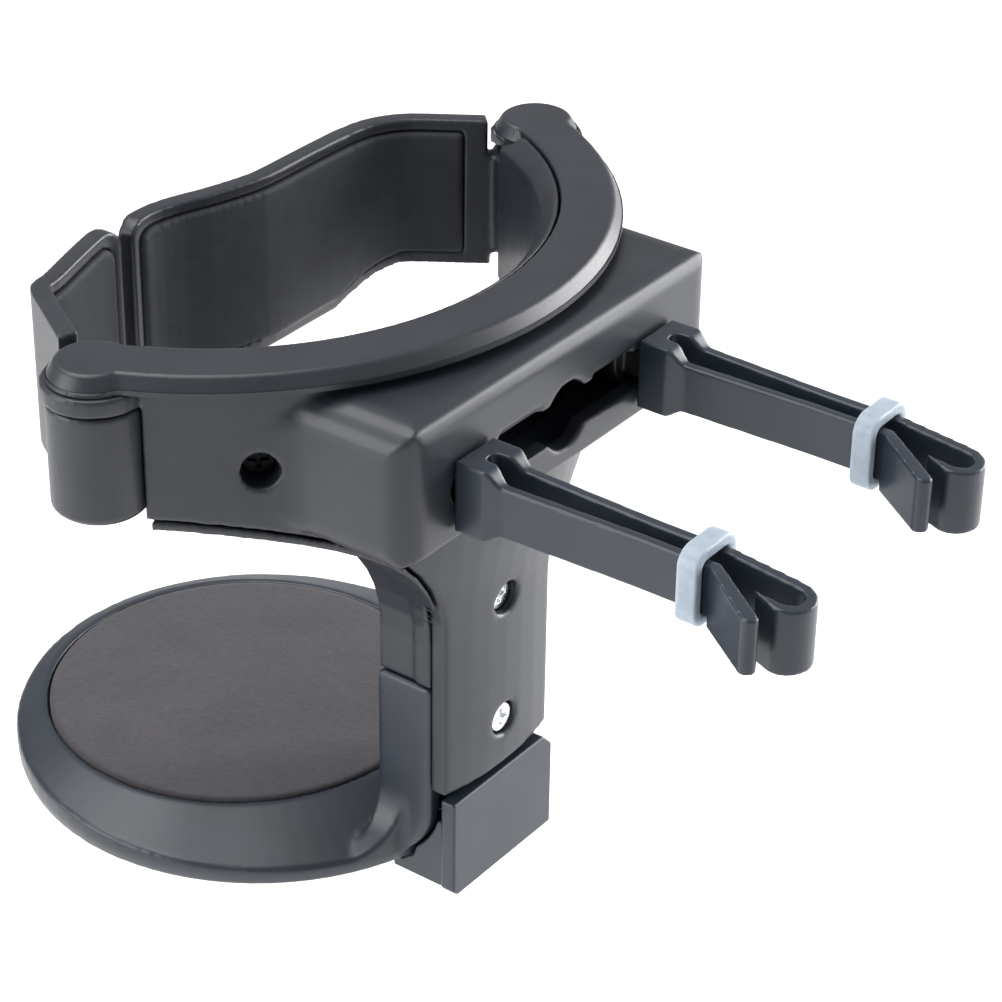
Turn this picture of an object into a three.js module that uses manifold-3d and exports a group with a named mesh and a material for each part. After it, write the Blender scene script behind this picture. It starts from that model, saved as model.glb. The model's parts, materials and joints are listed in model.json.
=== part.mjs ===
// Air-vent cup holder: a C-shaped ring with two spring-closed arms, a column that carries
// a padded tray, a sliding support foot, and two sliding, turning vent clips.
// Millimetres, +Z up. The origin is the middle of the cup seat, on the cup's own axis.
// +Y points to the vent, -Y to the arms, and +X is the side of the short arm.
import * as THREE from "three";
import { mergeVertices } from "three/addons/utils/BufferGeometryUtils.js";
import Module from "manifold-3d";

const wasm = await Module();
wasm.setup();

// ---------------------------------------------------------------- driving sizes

const FIT = 0.3; // gap between two pieces that touch
const REACH = 200; // far past every piece, for cutting bodies
const RING_FACETS = 84;
const ROUND_FACETS = 20;

// Ring
const RING_TOP = 79; // height of the ring's top above the cup seat
const RING_INNER_R = 41.5;
const LINER_WALL = 2.6;
const RING_HOLLOW = 4; // space between the liner and the outer wall
const SHELL_WALL = 2.4;
const RING_WALL_HEIGHT = 21; // from the ring's top down to the outer wall's lower edge
const RING_HALF_ANGLE = 66; // the C reaches this far each side of +Y, in degrees
const LIP_DROP = 1.6; // the liner's rim shows this far below the outer wall
const LIP_SLOPE = 2.6; // the liner's sloping top inner edge
const LINER_RIM_DEPTH = 5; // the raised rim of the liner's arch, from the outer wall's face inwards
const LINER_RIM_STEP = 0.5; // the rest of the arch is cut back by this much

// Cover ring, with a cap over each hinge
const COVER_THICK = 2.3;
const COVER_OVERHANG = 2.2; // past the outer wall
const COVER_CHAMFER = 1.2;
const CAP_R = 5.9;

// Hinges
const HINGE_ANGLE = 68.3; // each side of +Y, in degrees
const HINGE_INSET = 1.85; // hinge axis inside the outer wall's face
const LUG_R = 6.7;
const LUG_THICK = 2.4;
const BARREL_R = 6.2;
const BARREL_LENGTH = 15.1;
const BARREL_FLOOR = 2.2;
const BARREL_WALL = 1.6;
const PIVOT_R = 1.5;
const PIVOT_HEAD_R = 2.7;
const PIVOT_HEAD_THICK = 1;
const PIVOT_CLEARANCE = 0.1;
const HINGE_SCREW_R = 0.9;
const HINGE_SCREW_HEAD_R = 2.8;
const HINGE_SCREW_HEAD_THICK = 1.4;
const HINGE_SCREW_LENGTH = 5;
const SPRING_WIRE_R = 0.45;
const SPRING_TURNS = 5;
const SPRING_STEPS_PER_TURN = 10;

// Arms: plan points on the outer face, first from the hinge, then from where the tips meet
const ARM_THICK = 2.6;
const ARM_TIPS_X = 16.3; // the tips meet here
const ARM_TIP_GAP = 0.4;
const ARM_TIP_R = 3.2; // the rounded upper corner of each tip
const ARM_SAMPLES = 28;
const SHORT_ARM_ROOT = [[1.3, -2.7], [-0.8, -6.1], [-4.8, -12.6], [-8.2, -18.1], [-9.8, -19.6], [-12.7, -20.2]];
const SHORT_ARM_TIP = [[9.6, -4.3], [3.7, -6], [0.2, -5.9]];
const LONG_ARM_ROOT = [[1.7, -2.8], [4, -6.1], [7.5, -11.2], [10.9, -15.6], [15.2, -18.2], [20, -19.1]];
const LONG_ARM_TIP = [[-33, -1.3], [-24.6, -1.2], [-20.8, -1.6], [-14.7, -3.2], [-9.9, -4.9], [-5, -5.7], [-0.2, -5.2]];
const ARM_HEIGHT_AT_HINGE = 22.2;
const ARM_HEIGHT_AT_TIP = 25.8;
const ARM_FLAT_SPAN = 13; // from the hinge, before the lower edge slopes down
const ARM_SLOPE_SPAN = 11;
const ARM_PAD_MARGIN = 1.9;
const ARM_PAD_POCKET = 1.2;
const ARM_PAD_PROUD = 0.3;
const SHORT_PAD_SPAN = [0.42, 0.955]; // shares of the arm's length that its pad covers
const LONG_PAD_SPAN = [0.1, 0.975];

// Vent box on the rear of the ring
const BOX_HALF_WIDTH = 33;
const BOX_DEPTH = 5.5; // past the outer wall
const BOX_DROP = 3.7; // its top below the ring's top
const BOX_HEIGHT = 19.2;
const BOX_WALL = 2.6;
const BOX_CORNER_R = 4;
const BOX_FLARE = 3; // the soft fillet from the box's side into the wall
const BOX_SIDE_R = 4.5; // the rounded edge between the box's top and its sides
const BOX_SIDE_CUT = 1.6; // the lower side edges are cut off this far up the same rounding
const BOX_BEVEL = 2.2;
const SLOT_DROP = 15; // slot's middle below the ring's top
const SLOT_HEIGHT = 5.6;
const SLOT_ENTRY_R = 4.7;
const SLOT_LEDGE_HEIGHT = 1.1;
const SLOT_LEDGE_DEPTH = 0.6;
const SLOT_LEDGE_FROM = 5.6;
const SLOT_LEDGE_TO = 14.5;

// Column
const COLUMN_HALF_WIDTH = 11.5;
const COLUMN_INSET = 3.4; // the column's rear face lies this far inside the ring wall's
const COLUMN_STEP = 7.4; // its front face lies this far inside the liner's
const COLUMN_BOTTOM = 6.6; // lower end of the outer shell
const COLUMN_SPLIT = 23; // the liner's column ends here, and the tray's upstand begins
const COLUMN_WALL = 2.2;
const ARCH_START_X = 42;
const ARCH_END_Z = 31;
const ARCH_ROUNDING = 14;

// Screws
const SCREW_R = 1.1;
const SCREW_HEAD_R = 2.1;
const SCREW_HEAD_THICK = 1.3;
const SCREW_LENGTH = 7;
const SCREW_HOLE_R = 2.45;
const UPPER_SCREW_RECESS = 1.5; // from the skin down to the head's face
const LOWER_SCREW_RECESS = 0.8;
const WALL_SCREW_RECESS = 3.4;
const WALL_SCREW_LENGTH = 3.8;
const SCREW_CUP_WALL = 1.1;
const SCREW_BOSS_R = 2.7;
const CROSS_LENGTH = 2.6;
const CROSS_WIDTH = 0.6;
const CROSS_DEPTH = 0.6;
const UPPER_SCREW_Z = 33.3;
const LOWER_SCREW_Z = 13.8;
const WALL_SCREW_ANGLE = 45; // each side of +Y, in degrees
const WALL_SCREW_DROP = 14;

// Vent clips
const CLIP_SPACING = 39.2;
const CLIP_SHIFT = 0.6; // at rest the pair sits this far to the left of the slot's middle
const CLIP_HUB_HALF_WIDTH = 3.9;
const CLIP_HUB_ABOVE = 1.7; // the hub stands this far above the legs
const CLIP_HUB_BELOW = 1.2;
const CLIP_HUB_END = 4.6; // the hub's level part ends here
const CLIP_RAMP_END = 7; // and its S-shaped ramp down to the legs here
const CLIP_GAP_START = 2.6; // rounded end of the gap that begins in the hub
const CLIP_GAP_R = 1.1;
const CLIP_DROP = 0.7; // the legs' middle below the slot's
const CLIP_HALF_HEIGHT = 3.4;
const CLIP_ROOT_HALF = 3.35;
const CLIP_NECK_HALF = 2.6;
const CLIP_NECK_START = 26;
const CLIP_LEG = 1.5;
const CLIP_FLARE_START = 36;
const CLIP_FLARE_END = 45.7;
const CLIP_FLARE_HALF = 8.5;
const CLIP_FLARE_DROP = 1.6; // the flare reaches this far below the legs
const CLIP_END_FALL = 1.4; // the top falls by this much from the flare's start to the hook
const HOOK_CENTRE = 45.7;
const HOOK_R = 3.4;
const HOOK_RETURN = 3.6;
const HOOK_DROP = 6.5;
const STUD_R = 1.4;
const STUD_CLEARANCE = 0.12;
const SLIDER_HEAD_R = 4.4;
const SLIDER_HEAD_THICK = 2;
const SLIDER_NECK_HALF = 2.5;
const SLIDER_NECK_CORNER_R = 3;
const SLIDER_END_ROOM = 1.4; // from the neck to the slot's end
const RETAINER_R = 2.7;
const RETAINER_THICK = 0.8;
const STUD_PROUD = 0.5; // the stud's end past its washer
const CLIP_RING_CENTRE = 34;
const CLIP_RING_WIDTH = 2.8;
const CLIP_RING_THICK = 1.5;
const CLIP_RING_CORNER_R = 0.9; // inside

// Tray and pad
const TRAY_CENTRE_Y = 4.6;
const TRAY_R = 36.2;
const TRAY_BOTTOM_R = 34;
const TRAY_HEIGHT = 7.4;
const TRAY_RIM_LAND = 0.8; // level ring round the pad's pocket
const TRAY_RIM_SLOPE = 20; // fall of the rim's top face outside it, in degrees
const TRAY_RIM_DROP = 4.6; // from the top face down to the lower end of the upright side
const TRAY_UNDER_CHAMFER = 1;
const TRAY_HEEL_R = 12; // the rounded corner under the column
const TRAY_HEEL_INSET = 1; // the corner's rear lies this far in
const TRAY_PLATE = 3;
const TRAY_RIM_WALL = 2.4;
const TRAY_FILLET = 9;
const TRAY_FILLET_DROP = 4; // its lower end, below the tray's top
const PAD_R = 28;
const PAD_THICK = 1.6;
const PAD_PROUD = 0.4;

// Support foot
const FOOT_HALF_WIDTH = 11.3;
const FOOT_PLATE_THICK = 2.4;
const FOOT_TOP = 5.6;
const FOOT_BOTTOM = -10;
const FOOT_CORNER = 2;
const TONGUE_HALF_WIDTH = 7;
const TONGUE_THICK = 2;
const TONGUE_LENGTH = 40;
const FOOT_BLOCK_HALF_WIDTH = 10.3;
const FOOT_BLOCK_LENGTH = 9; // the block behind the plate, hugging the tray's heel
const FOOT_BLOCK_TOP = 1;
const RAIL_WALL = 1.6;
const RAIL_LIP = 1.4;

// ---------------------------------------------------------------- places worked out from them

const degrees = THREE.MathUtils.degToRad;
const LINER_OUTER_R = RING_INNER_R + LINER_WALL;
const SHELL_INNER_R = LINER_OUTER_R + RING_HOLLOW;
const SHELL_OUTER_R = SHELL_INNER_R + SHELL_WALL;
const DECK_TOP = RING_TOP - COVER_THICK - FIT;
const DECK_BOTTOM = DECK_TOP - LUG_THICK;
const RING_BOTTOM = RING_TOP - RING_WALL_HEIGHT;
const HINGE_R = SHELL_OUTER_R - HINGE_INSET;
const HINGE_X = HINGE_R * Math.sin(degrees(HINGE_ANGLE));
const HINGE_Y = HINGE_R * Math.cos(degrees(HINGE_ANGLE));
const BARREL_TOP = DECK_BOTTOM - FIT;
const BARREL_BOTTOM = BARREL_TOP - BARREL_LENGTH;
const BARREL_BORE_FLOOR = BARREL_BOTTOM + HINGE_SCREW_HEAD_THICK + 2 * FIT;
const SPRING_FLOOR = BARREL_BORE_FLOOR + BARREL_FLOOR;
const BOX_REAR = SHELL_OUTER_R + BOX_DEPTH;
const BOX_TOP = RING_TOP - BOX_DROP;
const BOX_BOTTOM = BOX_TOP - BOX_HEIGHT;
const SLOT_Z = RING_TOP - SLOT_DROP;
const CLIP_X = CLIP_SPACING / 2;
const WALL_SCREW_Z = RING_TOP - WALL_SCREW_DROP;
const SLOT_HALF_LENGTH = CLIP_X + SLIDER_NECK_CORNER_R + SLIDER_END_ROOM;
const COLUMN_FRONT = RING_INNER_R - COLUMN_STEP;
const TRAY_TOP = -PAD_PROUD;
const TRAY_BOTTOM = TRAY_TOP - TRAY_HEIGHT;
const UPSTAND_TOP = COLUMN_SPLIT - FIT;
const TRAY_RIM_REACH = TRAY_R + TRAY_CENTRE_Y + 1 - PAD_R; // past the rim's widest part
const TRAY_RIM_SLOPE_HEIGHT = TRAY_RIM_REACH * Math.tan(degrees(TRAY_RIM_SLOPE));

// Radius of the shell's outer face at a height: the ring's wall, easing into the column's rear.
function shellRadius(z) {
  const ease = THREE.MathUtils.smoothstep(RING_BOTTOM - z, 0, RING_BOTTOM - ARCH_END_Z);
  return SHELL_OUTER_R - COLUMN_INSET * ease;
}

// ---------------------------------------------------------------- small tools

// A geometry as a manifold-3d solid.
function solid(geometry) {
  const plain = geometry.clone();
  plain.deleteAttribute("normal");
  plain.deleteAttribute("uv");
  const merged = mergeVertices(plain, 1e-4);
  return new wasm.Manifold(
    new wasm.Mesh({
      numProp: 3,
      vertProperties: new Float32Array(merged.attributes.position.array),
      triVerts: new Uint32Array(merged.index.array),
    }),
  );
}

function unite(...pieces) {
  return wasm.Manifold.union(pieces);
}

function cut(body, ...tools) {
  return wasm.Manifold.difference([body, ...tools]);
}

function common(...pieces) {
  return wasm.Manifold.intersection(pieces);
}

function box(x0, x1, y0, y1, z0, z1) {
  const geometry = new THREE.BoxGeometry(x1 - x0, y1 - y0, z1 - z0);
  return solid(geometry.translate((x0 + x1) / 2, (y0 + y1) / 2, (z0 + z1) / 2));
}

// A disc or rod along Z.
function rodZ(radius, x, y, z0, z1, facets = ROUND_FACETS) {
  const geometry = new THREE.CylinderGeometry(radius, radius, z1 - z0, facets);
  return solid(geometry.rotateX(Math.PI / 2).translate(x, y, (z0 + z1) / 2));
}

// A disc or rod along Y.
function rodY(radius, x, z, y0, y1, facets = ROUND_FACETS) {
  const geometry = new THREE.CylinderGeometry(radius, radius, y1 - y0, facets);
  return solid(geometry.translate(x, (y0 + y1) / 2, z));
}

// The same rod, turned round the cup's axis so that it points outwards at an angle from +Y.
function rodOutwards(radius, angle, z, r0, r1) {
  return rodY(radius, 0, z, r0, r1).rotate([0, 0, -angle]);
}

// A closed outline of [radius, height] points, spun round an upright axis.
function spin(profile, x = 0, y = 0, facets = RING_FACETS) {
  const points = profile.map(([radius, height]) => new THREE.Vector2(radius, height));
  points.push(points[0].clone());
  const geometry = new THREE.LatheGeometry(points, facets);
  return solid(geometry.rotateX(Math.PI / 2).translate(x, y, 0));
}

function outline(points) {
  return new THREE.Shape(points.map(([u, v]) => new THREE.Vector2(u, v)));
}

// An x-y outline raised from z0 to z1.
function prismZ(shape, z0, z1, curveSegments = 8) {
  const geometry = new THREE.ExtrudeGeometry(shape, { depth: z1 - z0, bevelEnabled: false, curveSegments });
  return solid(geometry.translate(0, 0, z0));
}

// An x-z outline run from y0 to y1.
function prismY(shape, y0, y1, curveSegments = 8) {
  const geometry = new THREE.ExtrudeGeometry(shape, { depth: y1 - y0, bevelEnabled: false, curveSegments });
  return solid(geometry.rotateX(Math.PI / 2).translate(0, y1, 0));
}

// A y-z outline run from x0 to x1.
function prismX(shape, x0, x1, curveSegments = 8) {
  const geometry = new THREE.ExtrudeGeometry(shape, { depth: x1 - x0, bevelEnabled: false, curveSegments });
  const turn = new THREE.Matrix4().makeBasis(
    new THREE.Vector3(0, 1, 0),
    new THREE.Vector3(0, 0, 1),
    new THREE.Vector3(1, 0, 0),
  );
  return solid(geometry.applyMatrix4(turn).translate(x0, 0, 0));
}

// The wedge round +Y that the C of the ring fills.
function sector(halfAngle) {
  const x = REACH * Math.sin(degrees(halfAngle));
  const y = REACH * Math.cos(degrees(halfAngle));
  const wedge = outline([[0, 0], [x, y], [REACH, REACH], [-REACH, REACH], [-x, y]]);
  return prismZ(wedge, -REACH, REACH);
}

function disc(radius, z0, z1) {
  return rodZ(radius, 0, 0, z0, z1, RING_FACETS);
}

function atHinges(make) {
  return [1, -1].map((side) => make(side, side * HINGE_X, HINGE_Y));
}

// A Phillips-style head and shank along Y: the head's outer face is at y, the shank runs to -Y.
function screwAlongY(y, z, length) {
  const head = rodY(SCREW_HEAD_R, 0, z, y - SCREW_HEAD_THICK, y);
  const shank = rodY(SCREW_R, 0, z, y - length, y - SCREW_HEAD_THICK / 2, 14);
  const half = CROSS_LENGTH / 2;
  const thin = CROSS_WIDTH / 2;
  const flat = box(-half, half, y - CROSS_DEPTH, y + FIT, z - thin, z + thin);
  const tall = box(-thin, thin, y - CROSS_DEPTH, y + FIT, z - half, z + half);
  return cut(unite(head, shank), flat, tall);
}

// ---------------------------------------------------------------- materials

function plastic(color, roughness) {
  return new THREE.MeshStandardMaterial({ color, roughness, metalness: 0 });
}

const charcoal = plastic(0x47484d, 0.5);
const trayPlastic = plastic(0x4a4d55, 0.5);
const clipPlastic = plastic(0x454951, 0.55);
const rubber = plastic(0x3e4048, 0.85);
const foam = plastic(0x4e4b4d, 0.95);
const silicone = plastic(0xd7e1eb, 0.4);
const acetal = plastic(0x303135, 0.45);
const zinc = new THREE.MeshStandardMaterial({ color: 0xc9ccd0, roughness: 0.3, metalness: 1 });
const steel = new THREE.MeshStandardMaterial({ color: 0x9c9fa4, roughness: 0.35, metalness: 1 });

const holder = new THREE.Group();

// One named mesh from a finished solid.
function piece(name, body, material) {
  const { vertProperties, triVerts } = body.getMesh();
  const geometry = new THREE.BufferGeometry();
  geometry.setAttribute("position", new THREE.BufferAttribute(new Float32Array(vertProperties), 3));
  geometry.setIndex(new THREE.BufferAttribute(new Uint32Array(triVerts), 1));
  geometry.computeVertexNormals();
  const mesh = new THREE.Mesh(geometry, material);
  mesh.name = name;
  holder.add(mesh);
}

// ---------------------------------------------------------------- outlines shared by the shells

// Rear view of the ring's wall with the column below it. grow widens it, drop lowers its edge.
function hangerOutline(bottom, grow, drop) {
  const edge = RING_BOTTOM - drop;
  const side = COLUMN_HALF_WIDTH + grow;
  const shape = new THREE.Shape();
  shape.moveTo(side, bottom);
  shape.lineTo(side, ARCH_END_Z - drop);
  shape.bezierCurveTo(
    side, ARCH_END_Z + ARCH_ROUNDING - drop,
    ARCH_START_X - ARCH_ROUNDING, edge - LIP_DROP,
    ARCH_START_X, edge,
  );
  shape.lineTo(REACH, edge);
  shape.lineTo(REACH, REACH);
  shape.lineTo(-REACH, REACH);
  shape.lineTo(-REACH, edge);
  shape.lineTo(-ARCH_START_X, edge);
  shape.bezierCurveTo(
    -ARCH_START_X + ARCH_ROUNDING, edge - LIP_DROP,
    -side, ARCH_END_Z + ARCH_ROUNDING - drop,
    -side, ARCH_END_Z - drop,
  );
  shape.lineTo(-side, bottom);
  shape.closePath();
  return shape;
}

// The solid of revolution inside the shell's outer face, less an inset.
function insideShell(inset, bottom, top) {
  const steps = 9;
  const wall = [[shellRadius(RING_BOTTOM) - inset, top]];
  for (let i = 0; i <= steps; i += 1) {
    const z = RING_BOTTOM + ((ARCH_END_Z - RING_BOTTOM) * i) / steps;
    wall.push([shellRadius(z) - inset, z]);
  }
  wall.push([shellRadius(bottom) - inset, bottom]);
  return spin([[0, top], [0, bottom], ...wall.reverse()].map(([r, z]) => [Math.max(r, 0), z]));
}

// ---------------------------------------------------------------- outer shell

function boxPlan(inset, front) {
  const x = BOX_HALF_WIDTH - inset;
  const y = BOX_REAR - inset;
  const corner = BOX_CORNER_R - inset / 2;
  const shape = new THREE.Shape();
  shape.moveTo(-x, front);
  shape.lineTo(x, front);
  shape.lineTo(x, y - corner);
  shape.absarc(x - corner, y - corner, corner, 0, Math.PI / 2);
  shape.lineTo(-x + corner, y);
  shape.absarc(-x + corner, y - corner, corner, Math.PI / 2, Math.PI);
  shape.closePath();
  return shape;
}

// The box's plan with its flared root, run past its rear, with rounded upper and lower edges.
function softSides() {
  const x = BOX_HALF_WIDTH;
  const rootX = x + BOX_FLARE;
  const wallY = Math.sqrt(SHELL_OUTER_R ** 2 - x ** 2);
  const rootY = Math.sqrt(SHELL_OUTER_R ** 2 - rootX ** 2);
  const past = BOX_REAR + 2 * BOX_SIDE_R;
  const shape = new THREE.Shape();
  shape.moveTo(-rootX, COLUMN_FRONT - 2 * BOX_SIDE_R);
  shape.lineTo(rootX, COLUMN_FRONT - 2 * BOX_SIDE_R);
  shape.lineTo(rootX, rootY);
  shape.quadraticCurveTo(x, wallY, x, wallY + BOX_FLARE);
  shape.lineTo(x, past);
  shape.lineTo(-x, past);
  shape.lineTo(-x, wallY + BOX_FLARE);
  shape.quadraticCurveTo(-x, wallY, -rootX, rootY);
  shape.closePath();
  const base = BOX_BOTTOM - BOX_SIDE_CUT;
  const geometry = new THREE.ExtrudeGeometry(shape, {
    depth: BOX_TOP - base - 2 * BOX_SIDE_R,
    bevelEnabled: true,
    bevelThickness: BOX_SIDE_R,
    bevelSize: BOX_SIDE_R,
    bevelOffset: -BOX_SIDE_R,
    bevelSegments: 5,
    curveSegments: 6,
  });
  return solid(geometry.translate(0, 0, base + BOX_SIDE_R));
}

function ventBox() {
  const top = BOX_TOP;
  const base = BOX_BOTTOM;
  const side = outline([
    [COLUMN_FRONT, base],
    [BOX_REAR - BOX_BEVEL, base],
    [BOX_REAR, base + BOX_BEVEL / 2],
    [BOX_REAR, top - BOX_BEVEL],
    [BOX_REAR - BOX_BEVEL / 4, top - BOX_BEVEL / 4],
    [BOX_REAR - BOX_BEVEL, top],
    [COLUMN_FRONT, top + 1],
  ]);
  const corners = unite(
    prismZ(boxPlan(0, COLUMN_FRONT), base, top + 1),
    box(-REACH, REACH, COLUMN_FRONT, SHELL_OUTER_R - BOX_FLARE, base, top + 1),
  );
  return common(prismX(side, -REACH, REACH), corners, softSides());
}

function slotTools() {
  const half = SLOT_HEIGHT / 2;
  const y0 = BOX_REAR - BOX_WALL - FIT;
  const y1 = BOX_REAR + FIT;
  const ends = [1, -1].map((side) => rodY(half, side * (SLOT_HALF_LENGTH - half), SLOT_Z, y0, y1));
  const middle = box(half - SLOT_HALF_LENGTH, SLOT_HALF_LENGTH - half, y0, y1, SLOT_Z - half, SLOT_Z + half);
  const ledges = [1, -1].map((side) => {
    const near = side * SLOT_LEDGE_FROM;
    const far = side * SLOT_LEDGE_TO;
    return box(
      Math.min(near, far), Math.max(near, far),
      BOX_REAR - SLOT_LEDGE_DEPTH, y1,
      SLOT_Z + half - FIT, SLOT_Z + half + SLOT_LEDGE_HEIGHT,
    );
  });
  return [...ends, middle, rodY(SLOT_ENTRY_R, 0, SLOT_Z, y0, y1), ...ledges];
}

// A screw's recess in the shell: a cup hanging from the skin, and the hole down its middle.
function screwCup(angle, z, skinRadius, depth) {
  const floor = skinRadius - depth - SCREW_HEAD_THICK - SCREW_CUP_WALL;
  return {
    cup: rodOutwards(SCREW_HOLE_R + SCREW_CUP_WALL, angle, z, floor, skinRadius - SHELL_WALL / 2),
    recess: rodOutwards(SCREW_HOLE_R, angle, z, floor + SCREW_CUP_WALL, skinRadius + 2),
    hole: rodOutwards(SCREW_R + FIT, angle, z, floor - 1, floor + SCREW_CUP_WALL + 1),
    seat: floor + SCREW_CUP_WALL,
    floor,
  };
}

const cups = {
  upper: screwCup(0, UPPER_SCREW_Z, shellRadius(UPPER_SCREW_Z), UPPER_SCREW_RECESS),
  lower: screwCup(0, LOWER_SCREW_Z, shellRadius(LOWER_SCREW_Z), LOWER_SCREW_RECESS),
  left: screwCup(WALL_SCREW_ANGLE, WALL_SCREW_Z, SHELL_OUTER_R, WALL_SCREW_RECESS),
  right: screwCup(-WALL_SCREW_ANGLE, WALL_SCREW_Z, SHELL_OUTER_R, WALL_SCREW_RECESS),
};

function outerShell() {
  const reach = insideShell(0, COLUMN_BOTTOM, DECK_TOP);
  const skin = common(
    cut(reach, insideShell(SHELL_WALL, COLUMN_BOTTOM - 1, DECK_TOP + 1)),
    prismY(hangerOutline(COLUMN_BOTTOM, 0, 0), 0, REACH, 12),
    sector(RING_HALF_ANGLE),
  );
  const deck = common(
    cut(disc(SHELL_OUTER_R, DECK_BOTTOM, DECK_TOP), disc(LINER_OUTER_R + FIT, DECK_BOTTOM - 1, DECK_TOP + 1)),
    sector(RING_HALF_ANGLE),
  );
  const lugs = atHinges((side, x, y) => rodZ(LUG_R, x, y, DECK_BOTTOM, DECK_TOP));
  const lugCuts = atHinges((side, x, y) =>
    unite(
      rodZ(PIVOT_R + PIVOT_CLEARANCE, x, y, DECK_BOTTOM - 1, DECK_TOP + 1, 20),
      rodZ(PIVOT_HEAD_R + FIT, x, y, DECK_TOP - PIVOT_HEAD_THICK - FIT, DECK_TOP + 1),
    ),
  );
  const barrelRoom = atHinges((side, x, y) => rodZ(BARREL_R + FIT, x, y, RING_BOTTOM - 5, DECK_BOTTOM));
  const linerRoom = disc(LINER_OUTER_R + FIT, -1, DECK_TOP + 1);
  const housing = cut(
    ventBox(),
    disc(SHELL_INNER_R, BOX_BOTTOM - 1, DECK_BOTTOM),
    disc(SHELL_OUTER_R, BOX_BOTTOM - 1, RING_BOTTOM),
  );
  const hollow = prismZ(boxPlan(BOX_WALL, COLUMN_FRONT), BOX_BOTTOM + BOX_WALL, BOX_TOP - BOX_WALL);
  const screws = Object.values(cups);
  const solidShell = cut(unite(skin, deck, housing, ...lugs, ...screws.map((s) => s.cup)), hollow);
  return cut(
    solidShell,
    linerRoom,
    ...slotTools(),
    ...lugCuts,
    ...barrelRoom,
    ...screws.map((s) => s.recess),
    ...screws.map((s) => s.hole),
  );
}

piece("outer_shell", outerShell(), charcoal);

// ---------------------------------------------------------------- inner liner

// A boss that a screw bites into, from a wall outwards to just below the screw's cup.
function boss(angle, z, from, cup, length) {
  return cut(
    rodOutwards(SCREW_BOSS_R, angle, z, from, cup.floor - FIT),
    rodOutwards(SCREW_R + PIVOT_CLEARANCE, angle, z, cup.seat - length, cup.floor + 1),
  );
}

function innerLiner() {
  const slope = LINER_WALL - FIT;
  const wall = spin([
    [RING_INNER_R, RING_BOTTOM],
    [LINER_OUTER_R, RING_BOTTOM],
    [LINER_OUTER_R, RING_TOP - FIT],
    [RING_INNER_R + slope, RING_TOP - FIT],
    [RING_INNER_R, RING_TOP - FIT - LIP_SLOPE],
  ]);
  const front = outline([
    [COLUMN_FRONT, COLUMN_SPLIT],
    [REACH, COLUMN_SPLIT],
    [REACH, RING_BOTTOM],
    [RING_INNER_R + 1, RING_BOTTOM + COLUMN_STEP],
    [RING_INNER_R - 1, RING_BOTTOM + COLUMN_STEP],
    [COLUMN_FRONT, RING_BOTTOM - COLUMN_STEP],
  ]);
  const arch = (grow, drop) => prismY(hangerOutline(COLUMN_SPLIT, grow, drop), 0, REACH, 12);
  const rimArch = arch(0, LIP_DROP);
  const webArch = arch(-LINER_RIM_STEP, LIP_DROP - LINER_RIM_STEP);
  const reach = insideShell(FIT, COLUMN_SPLIT, RING_BOTTOM);
  const rim = common(cut(reach, insideShell(LINER_RIM_DEPTH, COLUMN_SPLIT - 1, RING_BOTTOM + 1)), rimArch);
  const web = common(cut(reach, disc(RING_INNER_R, 0, RING_TOP)), webArch);
  const column = common(prismX(front, -REACH, REACH), insideShell(FIT, COLUMN_SPLIT, DECK_BOTTOM), webArch);
  const shellRoom = cut(
    common(insideShell(-1, COLUMN_SPLIT - 2, RING_TOP), prismY(hangerOutline(COLUMN_SPLIT - 2, FIT, FIT), 0, REACH, 12)),
    insideShell(SHELL_WALL + FIT, COLUMN_SPLIT - 3, RING_TOP + 1),
  );
  const hollow = box(
    COLUMN_WALL - COLUMN_HALF_WIDTH, COLUMN_HALF_WIDTH - COLUMN_WALL,
    COLUMN_FRONT + COLUMN_WALL, REACH,
    COLUMN_SPLIT + COLUMN_WALL, RING_BOTTOM - COLUMN_STEP,
  );
  const ringHollow = cut(disc(SHELL_INNER_R - FIT, RING_BOTTOM, DECK_BOTTOM + 1), disc(LINER_OUTER_R, 0, RING_TOP));
  const barrelRoom = atHinges((side, x, y) => rodZ(BARREL_R + 2 * FIT, x, y, 0, RING_TOP + 1));
  const upperBoss = boss(0, UPPER_SCREW_Z, COLUMN_FRONT + COLUMN_WALL / 2, cups.upper, SCREW_LENGTH);
  const wallBosses = [
    boss(WALL_SCREW_ANGLE, WALL_SCREW_Z, LINER_OUTER_R - LINER_WALL / 2, cups.left, WALL_SCREW_LENGTH),
    boss(-WALL_SCREW_ANGLE, WALL_SCREW_Z, LINER_OUTER_R - LINER_WALL / 2, cups.right, WALL_SCREW_LENGTH),
  ];
  const ring = common(unite(wall, web, rim, column), sector(RING_HALF_ANGLE));
  const shaped = cut(ring, shellRoom, hollow, ringHollow, ...barrelRoom);
  const thread = SCREW_R + PIVOT_CLEARANCE;
  return cut(
    unite(shaped, upperBoss, ...wallBosses),
    rodOutwards(thread, 0, UPPER_SCREW_Z, cups.upper.seat - SCREW_LENGTH, REACH),
    rodOutwards(thread, WALL_SCREW_ANGLE, WALL_SCREW_Z, cups.left.seat - WALL_SCREW_LENGTH, REACH),
    rodOutwards(thread, -WALL_SCREW_ANGLE, WALL_SCREW_Z, cups.right.seat - WALL_SCREW_LENGTH, REACH),
  );
}

piece("inner_liner", innerLiner(), charcoal);

// ---------------------------------------------------------------- cover ring

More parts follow.
